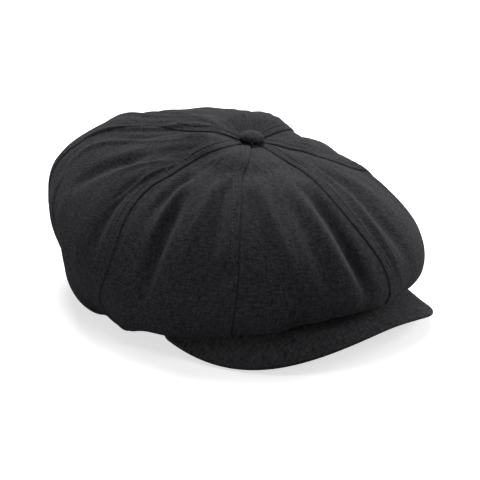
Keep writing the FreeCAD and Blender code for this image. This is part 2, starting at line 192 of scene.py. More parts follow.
# Folds of the slumped cloth: height (a valley is negative), half width, then (phi, down) points.
FOLDS = (
    # the wearer's right temple: two deep folds, with sharp creases round them
    (-4.5, 5.0, ((-73, 0.42), (-76, 0.54), (-80, 0.68))),
    (-8.0, 6.0, ((-69, 0.52), (-72, 0.65), (-75, 0.73), (-80, 0.84))),
    (2.2, 3.5, ((-72, 0.48), (-74, 0.60), (-78, 0.74))),
    (2.6, 4.0, ((-56, 0.44), (-60, 0.58), (-65, 0.72))),
    (-3.2, 4.5, ((-51, 0.42), (-54, 0.58), (-57, 0.74))),
    # the front
    (-2.6, 7.0, ((-40, 0.48), (-40, 0.62), (-36, 0.76))),
    (2.6, 6.0, ((-33, 0.33), (-35, 0.55), (-33, 0.68), (-24, 0.78))),
    (-2.8, 5.5, ((-23, 0.50), (-24, 0.64), (-20, 0.78))),
    (1.8, 5.0, ((-17, 0.52), (-16, 0.66), (-10, 0.80))),
    (-6.4, 6.2, ((-10, 0.46), (-11, 0.64), (-8, 0.82))),
    (2.3, 3.8, ((27, 0.24), (14, 0.42), (9, 0.57), (8, 0.68), (9, 0.82))),
    (-5.5, 7.5, ((30, 0.30), (20, 0.47), (15, 0.62), (15, 0.76))),
    (3.0, 8.0, ((55, 0.50), (48, 0.62), (40, 0.74))),
    # the wearer's right side, and the long ridges that run back from the button
    (2.4, 1.8, ((-88, 0.38), (-92, 0.55), (-99, 0.70))),
    (2.2, 2.0, ((-94, 0.38), (-103, 0.54), (-111, 0.66))),
    (-5.0, 6.5, ((-104, 0.42), (-112, 0.57), (-119, 0.69))),
    (2.5, 2.9, ((-145, 0.06), (-160, 0.34), (-165, 0.50), (-156, 0.62))),
    (2.5, 2.9, ((-136, 0.06), (-143, 0.36), (-144, 0.49), (-136, 0.64))),
    (2.4, 2.8, ((-106, 0.08), (-121, 0.36), (-130, 0.53), (-132, 0.68))),
    (2.2, 2.8, ((-153, 0.12), (-176, 0.44), (-178, 0.60))),
    (1.9, 2.4, ((-112, 0.10), (-126, 0.34), (-134, 0.52))),
    (-2.2, 4.0, ((-115, 0.24), (-130, 0.42), (-138, 0.58))),
    (2.4, 2.2, ((-131, 0.65), (-127, 0.72), (-123, 0.80))),
    (-3.2, 5.0, ((-93, 0.52), (-95, 0.64), (-96, 0.78))),
    # the wearer's left side and the back
    (-4.5, 7.5, ((66, 0.42), (70, 0.58), (74, 0.78))),
    (2.4, 4.0, ((78, 0.44), (80, 0.62), (82, 0.80))),
    (2.6, 3.0, ((100, 0.36), (104, 0.54), (108, 0.72))),
    (-4.4, 8.0, ((114, 0.40), (119, 0.58), (122, 0.76))),
    (1.8, 2.6, ((128, 0.24), (131, 0.42), (130, 0.62))),
    (-4.0, 7.0, ((148, 0.42), (150, 0.60), (153, 0.78))),
    (2.6, 4.0, ((158, 0.42), (162, 0.62), (166, 0.80))),
    (-4.0, 6.0, ((-158, 0.56), (-156, 0.70), (-153, 0.84))),
)

FOLD_FADE = 0.36             # share of a fold's length over which each end dies away

# Broad places where the crown is fuller or pulled in: height, radius, phi, down.
SWELLS = (
    (7.0, 32.0, -141, 0.58),
    (6.5, 26.0, -147, 0.68),
    (-11.0, 20.0, -124, 0.80),
    (-5.0, 22.0, -102, 0.87),
    (6.0, 13.0, -83, 0.86),
    (2.5, 16.0, -114, 0.89),
    (-6.0, 22.0, -26, 0.79),
    (-2.5, 7.0, -52, 0.71),
    (1.0, 40.0, 60, 0.62),
    (3.0, 30.0, 115, 0.42),
    (2.6, 20.0, 118, 0.28),
    (3.0, 26.0, 170, 0.40),
    (3.5, 22.0, -165, 0.52),
    (2.0, 24.0, 38, 0.71),
    (-5.0, 22.0, 27, 0.83),
    (-5.0, 18.0, 12, 0.82),
    (-4.0, 20.0, 14, 0.92),
    (3.5, 30.0, 150, 0.62),
)


# ---------------------------------------------------------------- the crown's surface
def smooth_step(share):
    share = np.clip(share, 0.0, 1.0)
    return share * share * (3 - 2 * share)


def spline_weights(down, count=8, degree=3):
    """Weights of a clamped uniform B-spline's poles at each place."""
    down = np.clip(np.asarray(down, float), 0.0, 1.0 - 1e-9)
    inner = np.linspace(0.0, 1.0, count - degree + 1)
    knots = np.concatenate([np.zeros(degree), inner, np.ones(degree)])
    weights = [((down >= low) & (down < high)).astype(float) for low, high in zip(knots, knots[1:])]
    for order in range(1, degree + 1):
        raised = []
        for i in range(len(weights) - 1):
            left = knots[i + order] - knots[i]
            right = knots[i + order + 1] - knots[i + 1]
            part = 0.0
            if left > 0:
                part = part + (down - knots[i]) / left * weights[i]
            if right > 0:
                part = part + (knots[i + order + 1] - down) / right * weights[i + 1]
            raised.append(part)
        weights = raised
    return np.stack(weights, -1)


def band_point(phi, offset, height):
    """Point of the band at phi radians, offset from the head opening, above its lower edge."""
    x = (HEAD_WIDTH / 2 + offset) * np.sin(phi)
    y = -(HEAD_LENGTH / 2 + offset) * np.cos(phi)
    along = y * math.cos(BAND_TILT) + height * math.sin(BAND_TILT)
    up = height * math.cos(BAND_TILT) - y * math.sin(BAND_TILT)
    return np.stack(np.broadcast_arrays(x, along, up), -1) + BAND_CENTRE


def peak_top_height(x, y):
    return PEAK_CREST_Z + PEAK_SLOPE * (y - PEAK_CREST_Y) - PEAK_ARCH * x * x


def snap_lift(x, y):
    distance = np.hypot(x, y - SNAP_Y) / SNAP_LIFT_RADIUS
    return SNAP_LIFT * np.exp(-distance ** 4)


def crown_base(phi, down, swell):
    """Smooth crown at phi degrees; swell is 0 on a seam and 1 in the middle of a panel."""
    phi, down, swell = np.broadcast_arrays(phi, down, swell)
    angle = np.radians(phi)
    weights = spline_weights(down)
    place = weights[..., -1:] * band_point(angle, CROWN_SEAM_OFFSET, CROWN_SEAM_HEIGHT)
    for i, (ring, bulge) in enumerate(zip(CROWN_RINGS, PANEL_BULGE)):
        centre_y, length, width, front, side, back = ring
        outward = bulge[0] * swell
        height = (front + back) / 4 + side / 2 + (front - back) / 2 * np.cos(angle)
        height = height + ((front + back) / 4 - side / 2) * np.cos(2 * angle) + bulge[1] * swell
        pole = np.stack([
            (width + outward) * np.sin(angle),
            centre_y - (length + outward) * np.cos(angle),
            height,
        ], -1)
        place = place + weights[..., i:i + 1] * pole
    x, y = place[..., 0], place[..., 1]
    short = peak_top_height(x, y) + CROWN_PEAK_GAP + snap_lift(x, y) - place[..., 2]
    lift = (short + np.hypot(short, CROWN_PEAK_SOFTNESS)) / 2
    lift = lift * peak_contact(phi) * smooth_step((down - 0.3) / 0.3)
    place[..., 2] += lift
    return place


def peak_contact(phi):
    """1 where the crown lies on the peak, 0 behind the peak's ends."""
    past = (np.abs(wrapped(phi)) - PEAK_CONTACT_FULL) / (PEAK_CONTACT_END - PEAK_CONTACT_FULL)
    return 1 - smooth_step(past)


def wrapped(phi):
    return (np.asarray(phi, float) + 180.0) % 360.0 - 180.0


def outward_normal(phi, down, swell):
    step = 0.002
    turn = math.degrees(step)
    low = np.clip(down - step, 0.0, 1.0)
    high = np.clip(down + step, 0.0, 1.0)
    along = crown_base(phi, high, swell) - crown_base(phi, low, swell)
    round_ = crown_base(phi + turn, down, swell) - crown_base(phi - turn, down, swell)
    return unit(np.cross(along, round_))


def unit(vectors):
    return vectors / np.maximum(np.linalg.norm(vectors, axis=-1, keepdims=True), 1e-9)


def seam_angle(seam, down):
    """Angle of a seam, counted from the front (negative on the wearer's right)."""
    points = SEAM_LEAN[seam]
    downs = [p[0] for p in points]
    leans = [p[1] for p in points]
    fine = np.linspace(0.0, 1.0, 201)
    values = np.interp(fine, downs, leans)
    window = np.hanning(25)
    padded = np.pad(values, 12, mode="edge")
    smoothed = np.convolve(padded, window / window.sum(), mode="valid")
    return seam * PANEL_ANGLE + np.interp(down, fine, smoothed)


# ---------------------------------------------------------------- folds and wrinkles
def fold_line(points):
    """Places along a fold, on the smooth crown, and each one's share of the fold's length."""
    angles = np.unwrap([math.radians(p[0]) for p in points])
    knots = np.linspace(0.0, 1.0, len(points))
    fine = np.linspace(0.0, 1.0, 150)
    degree = min(2, len(points) - 1)
    phi = np.degrees(np.polyval(np.polyfit(knots, angles, degree), fine))
    down = np.polyval(np.polyfit(knots, [p[1] for p in points], degree), fine)
    return crown_base(phi, down, 0.5), fine


FOLD_LINES = [(height, width) + fold_line(points) for height, width, points in FOLDS]


def fold_height(places):
    """Sum of the folds at each place."""
    flat = places.reshape(-1, 3)
    total = np.zeros(len(flat))
    for height, width, line, share in FOLD_LINES:
        centre = line.mean(0)
        reach = np.linalg.norm(line - centre, axis=1).max() + 3 * width
        near = np.flatnonzero(np.linalg.norm(flat - centre, axis=1) < reach)
        if not len(near):
            continue
        distance = np.linalg.norm(flat[near][:, None] - line[None], axis=2)
        closest = distance.argmin(1)
        along = share[closest]
        fade = smooth_step(along / FOLD_FADE) * smooth_step((1 - along) / FOLD_FADE)
        total[near] += height * fade * np.exp(-(distance.min(1) / width) ** 2)
    return total.reshape(places.shape[:-1])


def swell_height(places):
    total = np.zeros(places.shape[:-1])
    for height, radius, phi, down in SWELLS:
        centre = crown_base(phi, down, 0.5)
        total += height * np.exp(-(np.linalg.norm(places - centre, axis=-1) / radius) ** 2)
    return total


def ridged_noise(phi, down, around, along, seed):
    """Long soft waves that run down the crown: from -1 to 1."""
    angle = np.radians(phi)
    xs = around * np.cos(angle)
    ys = around * np.sin(angle)
    zs = along * down + seed
    places = np.stack([xs, ys, zs], -1).reshape(-1, 3).tolist()
    return np.array([noise.noise(Vector(p)) for p in places]).reshape(phi.shape)


def wrinkle_height(phi, down):
    """Small wrinkles all over: gathers at the button and at the band, creases between."""
    long_creases = ridged_noise(phi, down, *LONG_CREASES)
    short_creases = ridged_noise(phi, down, *SHORT_CREASES)
    gathers = ridged_noise(phi, down, *GATHERS)
    at_button = np.exp(-(down / 0.16) ** 2)
    at_band = smooth_step((down - 0.72) / 0.2)
    on_top = smooth_step((down - 0.12) / 0.2)
    crease = 1 - 2 * np.abs(long_creases)
    return (LONG_CREASE_HEIGHT * crease * on_top + SHORT_CREASE_HEIGHT * short_creases * on_top
            + BUTTON_GATHER_HEIGHT * gathers * at_button + BAND_GATHER_HEIGHT * gathers * at_band)


def seam_height(down, from_front, from_back, has_allowance, front_depth, back_depth):
    """Rolled edges at both seams, and the stitched-down seam allowance behind the front one."""
    height = -front_depth * np.exp(-(from_front / SEAM_GROOVE) ** 2)
    height = height - back_depth * np.exp(-(from_back / SEAM_GROOVE) ** 2)
    pucker = np.sin(down * 260.0) * 0.5 + np.sin(down * 171.0 + 1.3) * 0.5
    height = height + SEAM_PUCKER * pucker * (np.exp(-from_front / 3.5) + np.exp(-from_back / 3.5))
    if has_allowance:
        past = (from_front - SEAM_ALLOWANCE - 1.2) / 1.4
        raised = smooth_step(from_front / 1.4) * (1 - smooth_step(past))
        stitched = np.exp(-((from_front - SEAM_ALLOWANCE) / 0.8) ** 2)
        height = height + SEAM_ALLOWANCE_RISE * raised - SEAM_STITCH_DIP * stitched
    return height


# ---------------------------------------------------------------- meshes
def new_object(name, vertices, faces, uvs=None, flat_from=None):
    """Mesh object from millimetre vertices; faces from flat_from on are flat-shaded."""
    mesh = bpy.data.meshes.new(name)
    mesh.from_pydata((np.asarray(vertices) * MM).tolist(), [], faces)
    smooth = np.ones(len(mesh.polygons), bool)
    if flat_from is not None:
        smooth[flat_from:] = False
    mesh.polygons.foreach_set("use_smooth", smooth)
    if uvs is not None:
        layer = mesh.uv_layers.new(name="weave")
        loops = np.zeros(len(mesh.loops), np.int32)
        mesh.loops.foreach_get("vertex_index", loops)
        layer.data.foreach_set("uv", (np.asarray(uvs)[loops] * MM).ravel())
    mesh.validate()
    mesh.update()
    piece = bpy.data.objects.new(name, mesh)
    bpy.context.scene.collection.objects.link(piece)
    return piece


def grid_faces(rows, columns, start=0, flipped=False, closed=False):
    """Quads of a grid of vertices; closed joins its last column to its first."""
    faces = []
    last = columns if closed else columns - 1
    for i in range(rows - 1):
        for j in range(last):
            across = (j + 1) % columns
            row, below = i * columns, (i + 1) * columns
            quad = [row + j, row + across, below + across, below + j]
            if flipped:
                quad.reverse()
            faces.append([start + k for k in quad])
    return faces


def border_faces(rows, columns, shift):
    """Quads that join the border of one grid to the border of the grid `shift` vertices on."""
    top = list(range(columns))
    right = [i * columns + columns - 1 for i in range(rows)]
    bottom = [(rows - 1) * columns + j for j in range(columns - 1, -1, -1)]
    left = [i * columns for i in range(rows - 1, -1, -1)]
    loop = top + right[1:] + bottom[1:] + left[1:]
    return [[b, a, a + shift, b + shift] for a, b in zip(loop, loop[1:])]


def cloth_object(name, outer, inner, uvs, mirrored=False):
    """Closed sheet between two grids of places, shape (rows, columns, 3).

    A grid whose columns run the other way round is mirrored, so that its faces look outwards.
    """
    if mirrored:
        outer, inner, uvs = outer[:, ::-1], inner[:, ::-1], uvs[:, ::-1]
    rows, columns = outer.shape[:2]
    count = rows * columns
    vertices = np.concatenate([outer.reshape(-1, 3), inner.reshape(-1, 3)])
    faces = grid_faces(rows, columns) + grid_faces(rows, columns, count, True)
    flat_from = len(faces)
    faces += border_faces(rows, columns, count)
    uvs = uvs.reshape(-1, 2)
    return new_object(name, vertices, faces, np.concatenate([uvs, uvs]), flat_from)


def grid_normals(grid):
    return unit(np.cross(np.gradient(grid, axis=0), np.gradient(grid, axis=1)))


def cloth_uvs(grid):
    """Distance across from the middle column, and down along it, in millimetres."""
    across = np.linalg.norm(np.diff(grid, axis=1), axis=2)
    across = np.concatenate([np.zeros((len(grid), 1)), across.cumsum(1)], 1)
    middle = grid.shape[1] // 2
    down = np.linalg.norm(np.diff(grid[:, middle], axis=0), axis=1)
    down = np.concatenate([[0.0], down.cumsum()])
    return np.stack(np.broadcast_arrays(across - across[:, middle:middle + 1], down[:, None]), -1)


# ---------------------------------------------------------------- materials
WAVE_PITCH = math.pi / 10    # units of its vector between a wave texture's bands, at scale 1
TWILL_SLANT = math.radians(58)
TAPE_RIB = 1.1


def new_material(name, roughness, sheen=0.0, metallic=0.0):
    """A material with its shader, ready for colour and bump."""
    material = bpy.data.materials.new(name)
    material.use_nodes = True
    shader = material.node_tree.nodes["Principled BSDF"]
    shader.inputs["Roughness"].default_value = roughness
    shader.inputs["Metallic"].default_value = metallic
    shader.inputs["Sheen Weight"].default_value = sheen
    shader.inputs["Sheen Roughness"].default_value = 0.45
    shader.inputs["Specular IOR Level"].default_value = 0.1 if metallic == 0 else 0.5
    return material, shader


def add_node(material, kind, inputs=None, **settings):
    node = material.node_tree.nodes.new(kind)
    for name, value in settings.items():
        setattr(node, name, value)
    for name, value in (inputs or {}).items():
        if isinstance(value, bpy.types.NodeSocket):
            material.node_tree.links.new(value, node.inputs[name])
        else:
            node.inputs[name].default_value = value
    return node


def math_node(material, operation, first, second):
    node = add_node(material, "ShaderNodeMath", {0: first, 1: second}, operation=operation)
    return node.outputs[0]


def add_colour(material, shader, factor, dark, light, low, high):
    """Base colour that goes from dark to light as the factor goes from low to high."""
    share = add_node(material, "ShaderNodeMapRange", {
        "Value": factor, "From Min": low, "From Max": high}).outputs["Result"]
    node = add_node(material, "ShaderNodeValToRGB", {"Fac": share})
    node.color_ramp.elements[0].color = (*dark, 1)
    node.color_ramp.elements[1].color = (*light, 1)
    material.node_tree.links.new(node.outputs["Color"], shader.inputs["Base Color"])


def add_relief(material, shader, height, strength, depth):
    """Bump of the given strength and depth (mm)."""
    relief = add_node(material, "ShaderNodeBump", {
        "Height": height, "Strength": strength, "Distance": depth * MM})
    material.node_tree.links.new(relief.outputs["Normal"], shader.inputs["Normal"])


def woven(name, dark, light, roughness, sheen, rib=1.4, warp=0.6, slub=2.3, bump=0.8):
    """Twill: diagonal ribs of pitch `rib`, lengthwise yarns of pitch `warp` (mm), slubs and fading."""
    material, shader = new_material(name, roughness, sheen)
    shader.inputs["Sheen Tint"].default_value = (0.80, 0.82, 0.90, 1)
    uv = add_node(material, "ShaderNodeUVMap", uv_map="weave").outputs["UV"]
    ribs = add_node(material, "ShaderNodeMapping", {
        "Vector": uv, "Rotation": (0, 0, TWILL_SLANT)}).outputs[0]
    rib_wave = add_node(material, "ShaderNodeTexWave", {
        "Vector": ribs, "Scale": WAVE_PITCH / (rib * MM), "Distortion": 2.2, "Detail": 2.0,
        "Detail Scale": 1.4}, wave_type="BANDS", bands_direction="X").outputs["Fac"]
    yarn_wave = add_node(material, "ShaderNodeTexWave", {
        "Vector": uv, "Scale": WAVE_PITCH / (warp * MM), "Distortion": 1.2, "Detail": 1.0,
        "Detail Scale": 2.0}, wave_type="BANDS", bands_direction="X").outputs["Fac"]
    stretched = add_node(material, "ShaderNodeMapping", {
        "Vector": uv, "Scale": (1 / (2.6 * warp * MM), 1 / (12 * warp * MM), 1)}).outputs[0]
    slubs = add_node(material, "ShaderNodeTexNoise", {
        "Vector": stretched, "Scale": 1.0, "Detail": 3.0, "Roughness": 0.7}).outputs["Fac"]
    crossed = add_node(material, "ShaderNodeMapping", {
        "Vector": uv, "Scale": (1 / (8 * warp * MM), 1 / (2.6 * warp * MM), 1)}).outputs[0]
    wefts = add_node(material, "ShaderNodeTexNoise", {
        "Vector": crossed, "Scale": 1.0, "Detail": 2.0, "Roughness": 0.6}).outputs["Fac"]
    place = add_node(material, "ShaderNodeTexCoord").outputs["Object"]
    fading = add_node(material, "ShaderNodeTexNoise", {
        "Vector": place, "Scale": 26.0, "Detail": 4.0, "Roughness": 0.6}).outputs["Fac"]
    weave = math_node(material, "MULTIPLY", rib_wave, 0.5)
    weave = math_node(material, "ADD", weave, math_node(material, "MULTIPLY", yarn_wave, 0.2))
    threads = math_node(material, "ADD", slubs, wefts)
    mixed = math_node(material, "ADD", math_node(material, "MULTIPLY", threads, slub), weave)
    mixed = math_node(material, "ADD", mixed, math_node(material, "MULTIPLY", fading, 0.3))
    # the weave and the fading add up to 0.5 on average, and the two kinds of thread to 1
    add_colour(material, shader, mixed, dark, light, 0.5 + 0.6 * slub, 0.5 + 1.4 * slub)
    height = math_node(material, "ADD", weave, math_node(material, "MULTIPLY", threads, 0.5))
    add_relief(material, shader, height, bump, 0.35)
    return material


def ribbed_tape(name, dark, light):
    """Cotton tape with fine ribs across it."""
    material, shader = new_material(name, 0.8, 0.35)
    uv = add_node(material, "ShaderNodeUVMap", uv_map="weave").outputs["UV"]
    wave = add_node(material, "ShaderNodeTexWave", {
        "Vector": uv, "Scale": WAVE_PITCH / (TAPE_RIB * MM), "Distortion": 0.4,
        "Detail": 1.0}, wave_type="BANDS", bands_direction="X").outputs["Fac"]
    place = add_node(material, "ShaderNodeTexCoord").outputs["Object"]
    fading = add_node(material, "ShaderNodeTexNoise", {
        "Vector": place, "Scale": 900.0, "Detail": 3.0}).outputs["Fac"]
    mixed = math_node(material, "ADD", math_node(material, "MULTIPLY", wave, 0.6),
                      math_node(material, "MULTIPLY", fading, 0.5))
    add_colour(material, shader, mixed, dark, light, 0.2, 1.0)
    add_relief(material, shader, wave, 0.4, 0.3)
    return material


def speckled(name, dark, light, roughness, metallic, grain, bump=0.1):
    """Moulded plastic, pressed metal or interfacing: a fine grain and slight mottling."""
    material, shader = new_material(name, roughness, 0.0, metallic)
    place = add_node(material, "ShaderNodeTexCoord").outputs["Object"]
    fine = add_node(material, "ShaderNodeTexNoise", {
        "Vector": place, "Scale": grain, "Detail": 5.0, "Roughness": 0.65}).outputs["Fac"]
    add_colour(material, shader, fine, dark, light, 0.3, 0.7)
    uneven = add_node(material, "ShaderNodeMapRange", {
        "Value": fine, "To Min": roughness - 0.08, "To Max": roughness + 0.08}).outputs["Result"]
    material.node_tree.links.new(uneven, shader.inputs["Roughness"])
    add_relief(material, shader, fine, bump, 0.1)
    return material


MATERIALS = {
    "crown_cloth": woven("crown_twill", (0.0018, 0.0018, 0.0020), (0.0405, 0.0402, 0.0456), 0.9, 0.03),
    "peak_cloth": woven("peak_twill", (0.0030, 0.0030, 0.0032), (0.0480, 0.0474, 0.0520), 0.88, 0.02),
    "lining_cloth": woven(
        "lining_weave", (0.004, 0.004, 0.005), (0.026, 0.026, 0.030), 0.6, 0.15,
        rib=0.6, warp=0.4, slub=1.4, bump=0.3),
    "sweatband_tape": ribbed_tape("sweatband_ribs", (0.006, 0.006, 0.007), (0.024, 0.024, 0.026)),
    "stiffener_tape": speckled(
        "interfacing", (0.42, 0.41, 0.38), (0.58, 0.57, 0.53), 0.9, 0.0, 1500.0, bump=0.4),
    "peak_board": speckled("moulded_board", (0.06, 0.06, 0.06), (0.10, 0.10, 0.10), 0.5, 0.0, 800.0),
    "button_metal": speckled(
        "pressed_aluminium", (0.60, 0.60, 0.61), (0.80, 0.80, 0.81), 0.35, 1.0, 1200.0),
    "snap_metal": speckled(
        "blackened_steel", (0.10, 0.10, 0.11), (0.30, 0.30, 0.32), 0.32, 1.0, 1600.0),
    "thread": ribbed_tape("topstitch_thread", (0.010, 0.010, 0.011), (0.042, 0.041, 0.044)),
}


def finish_piece(piece, slot, body, replaced=(), material=None):
    """Gives a piece the material of its slot, or the one named, puts it on its body and hides the CAD
    nodes that it stands for.
    """
    piece.data.materials.clear()
    piece.data.materials.append(MATERIALS[material or slot])
    if body is not None:
        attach(piece, body)
    if replaced:
        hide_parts(*replaced)


# ---------------------------------------------------------------- crown panels
PANEL_COLUMNS = 97
PANEL_ROWS = 181
COLUMN_CROWDING = 0.72       # 0 spaces the columns evenly, 1 crowds them most towards the seams


def panel_grid(index, side, columns, rows):
    """Angles, shares across and shares down of a panel's grid; columns run from front to back."""
    evenly = np.linspace(0.0, 1.0, columns)[None, :]
    across = evenly - COLUMN_CROWDING * np.sin(2 * math.pi * evenly) / (2 * math.pi)
    down = np.linspace(0.0, 1.0, rows)[:, None]
    front = seam_angle(side * index, down)
    if side * (index + 1) == -BACK_SEAM:
        back = seam_angle(BACK_SEAM, down) - 360.0
    else:
        back = seam_angle(side * (index + 1), down)
    phi = front + (back - front) * across
    across, down = np.broadcast_arrays(across, down)
    return phi, across, down


def panel_swell(across):
    return PANEL_SWELL_BASE + PANEL_SWELL_RISE * np.sin(math.pi * across) ** 2


def is_topstitched(index, side):
    """Every panel has the seam allowance at its front seam, except the right front one."""
    return not (index == 0 and side < 0)


def panel_places(index, side, columns, rows):
    """The crown's outer face over one panel, with its folds, wrinkles and seams."""
    phi, across, down = panel_grid(index, side, columns, rows)
    swell = panel_swell(across)
    base = crown_base(phi, down, swell)
    normal = outward_normal(phi, down, swell)
    step = np.linalg.norm(np.diff(base, axis=1), axis=2)
    from_front = np.concatenate([np.zeros((rows, 1)), step.cumsum(1)], 1)
    from_back = from_front[:, -1:] - from_front
    near_seam = np.minimum(from_front, from_back)
    relaxed = smooth_step(near_seam / SEAM_CALM) * 0.65 + 0.35
    height = swell_height(base) + fold_height(base)
    height = height + wrinkle_height(phi, down) * relaxed
    has_allowance = is_topstitched(index, side)
    depths = [SEAM_DEPTH_BACK if abs(seam) >= 3 else SEAM_DEPTH for seam in (index, index + 1)]
    height = height + seam_height(down, from_front, from_back, has_allowance, *depths)
    held = smooth_step((1.0 - down) / 0.06) * smooth_step(down / 0.05)
    places = base + normal * (height * held)[..., None]
    return clear_of_neighbours(places, phi, down), from_front


def clear_of_neighbours(places, phi, down):
    """Keeps the cloth above the peak and above what the cap lies on."""
    x, y, z = places[..., 0], places[..., 1], places[..., 2]
    floor = peak_top_height(x, y) + CROWN_PEAK_GAP + snap_lift(x, y)
    on_peak = peak_contact(phi) * over_peak(x, y) * (down > 0.45)
    floor = CROWN_FLOOR_GAP + np.maximum(floor - CROWN_FLOOR_GAP, 0.0) * on_peak
    short = floor - z
    roundness = CROWN_FLOOR_ROLL + CROWN_EDGE_ROLL * on_peak
    lifted = z + np.maximum(0.0, (short + np.hypot(short, roundness)) / 2 - roundness / 4)
    places = places.copy()
    places[..., 2] = np.maximum(lifted, floor)
    return places


def over_peak(x, y):
    """1 over the peak, falling to 0 a little outside its rim and behind its ends."""
    power = 2 / PEAK_SQUARENESS
    ahead = np.minimum(y - PEAK_WIDEST_Y, 0.0) / PEAK_REACH
    ring = (np.abs(x) / PEAK_HALF_WIDTH) ** power + np.abs(ahead) ** power
    behind = smooth_step((y - PEAK_WIDEST_Y - 2.0) / 6.0)
    return (1 - smooth_step((ring - 1.0) / 0.12)) * (1 - behind)


def facing_out(grid, side):
    """Normals of a panel's grid that point out of the cap."""
    return grid_normals(grid) * side


def build_crown_panel(index, side, side_name):
    place = PANEL_NAMES[index] + "_" + side_name
    places, from_front = panel_places(index, side, PANEL_COLUMNS, PANEL_ROWS)
    normals = facing_out(places, side)
    inner = places - normals * CROWN_CLOTH
    piece = cloth_object("twill_panel_" + place, places, inner, cloth_uvs(places), side < 0)
    finish_piece(piece, "crown_cloth", "cap", ["crown_panel_" + place])
    if is_topstitched(index, side):
        build_topstitch(place, places, normals, from_front)


def build_topstitch(place, places, normals, from_front):
    """A row of stitches along the panel's front seam, as far from it as the seam allowance."""
    line = []
    ups = []
    columns = np.arange(from_front.shape[1])
    for i in range(len(places)):
        if from_front[i, -1] < STITCH_ROOM * SEAM_ALLOWANCE:
            continue
        column = np.interp(SEAM_ALLOWANCE, from_front[i], columns)
        low = int(column)
        high = min(low + 1, columns[-1])
        share = column - low
        line.append(places[i, low] * (1 - share) + places[i, high] * share)
        ups.append(normals[i, low] * (1 - share) + normals[i, high] * share)
    line = np.array(line)
    ups = unit(np.array(ups))
    length = np.concatenate([[0.0], np.linalg.norm(np.diff(line, axis=0), axis=1).cumsum()])
    vertices = []
    faces = []
    shares = np.array(STITCH_SHARES)
    for start in np.arange(1.0, length[-1] - STITCH_PITCH, STITCH_PITCH):
        at = start + shares * STITCH_LENGTH
        centre = np.stack([np.interp(at, length, line[:, k]) for k in range(3)], -1)
        up = unit(np.stack([np.interp(at, length, ups[:, k]) for k in range(3)], -1))
        along = unit(np.gradient(centre, axis=0))
        out = unit(np.cross(along, up))
        radius = STITCH_RADIUS * np.array(STITCH_FULLNESS)
        first = len(vertices)
        for j, rise in enumerate(STITCH_RISES):
            for k in range(STITCH_SIDES):
                turn = 2 * math.pi * k / STITCH_SIDES
                above = up[j] * (rise + radius[j] * math.sin(turn))
                vertices.append(centre[j] + above + out[j] * (radius[j] * math.cos(turn)))
        faces += grid_faces(len(shares), STITCH_SIDES, first, closed=True)
        faces.append([first + k for k in range(STITCH_SIDES)])
        last = first + STITCH_SIDES * (len(shares) - 1)
        faces.append([last + k for k in range(STITCH_SIDES - 1, -1, -1)])
    uvs = np.array([(v[0] + v[1], v[2]) for v in vertices])
    piece = new_object("topstitch_" + place, vertices, faces, uvs)
    finish_piece(piece, "crown_cloth", "cap", material="thread")
    return piece


def build_lining_panel(index, side, side_name):
    """The lining hangs loose behind the crown, in soft creases of its own."""
    place = PANEL_NAMES[index] + "_" + side_name
    columns, rows = 41, 121
    phi, across, down = panel_grid(index, side, columns, rows)
    swell = panel_swell(across)
    base = crown_base(phi, down, swell)
    normal = outward_normal(phi, down, swell)
    creases = ridged_noise(phi, down, *LINING_CREASES)
    held = smooth_step((1.0 - down) / 0.08) * smooth_step(down / 0.06)
    inward = LINING_GAP + (LINING_SAG + LINING_CREASE * np.abs(creases)) * held
    height = np.minimum(fold_height(base) + swell_height(base), 1.0) * held - inward
    places = base + normal * height[..., None]
    inner = places - facing_out(places, side) * LINING_CLOTH
    piece = cloth_object("lining_" + place, places, inner, cloth_uvs(places), side < 0)
    finish_piece(piece, "lining_cloth", "cap", ["lining_panel_" + place])


def build_crown():
    for side, side_name in ((1, "left"), (-1, "right")):
        for index in range(len(PANEL_NAMES)):
            build_crown_panel(index, side, side_name)
            build_lining_panel(index, side, side_name)


# ---------------------------------------------------------------- headband and sweatband
def build_ring(name, slot, replaced, profile, ripple):
    """Closed ring round the head opening; profile is a closed list of (offset, height)."""
    turns = 240
    phi = np.linspace(0.0, 2 * math.pi, turns, endpoint=False)
    columns = []
    for offset, height in profile:
        wave = ripple * np.sin(phi * 9 + height * 0.2) * np.sin(phi * 4 + 1.0)
        columns.append(band_point(phi, offset + wave, height))
    grid = np.stack(columns, 0)
    vertices = grid.reshape(-1, 3)
    count = len(profile)
    faces = []
    for i in range(count):
        below = (i + 1) % count
        for j in range(turns):
            k = (j + 1) % turns
            faces.append([i * turns + j, below * turns + j, below * turns + k, i * turns + k])
    radius = (HEAD_LENGTH + HEAD_WIDTH) / 4
    uvs = np.array([(p * radius, height) for offset, height in profile for p in phi])
    piece = new_object(name, vertices, faces, uvs)
    finish_piece(piece, slot, "cap", replaced)
    return piece


def rounded_profile(inner, outer, low, high, bulges=()):
    """Closed outline of a folded band, with rounded edges and soft bulges (height, size)."""
    middle = (inner + outer) / 2
    half = (outer - inner) / 2
    points = []
    for angle in np.linspace(-90, 90, 7):
        a = math.radians(angle)
        points.append((middle + half * math.sin(a), high - half + half * math.cos(a)))
    for height in np.linspace(high - half, low + half, 12)[1:-1]:
        points.append((outer + sum(b * math.exp(-((height - h) / 2) ** 2) for h, b in bulges), height))
    for angle in np.linspace(90, 270, 7):
        a = math.radians(angle)
        points.append((middle + half * math.sin(a), low + half + half * math.cos(a)))
    for height in np.linspace(low + half, high - half, 12)[1:-1]:
        points.append((inner, height))
    return points


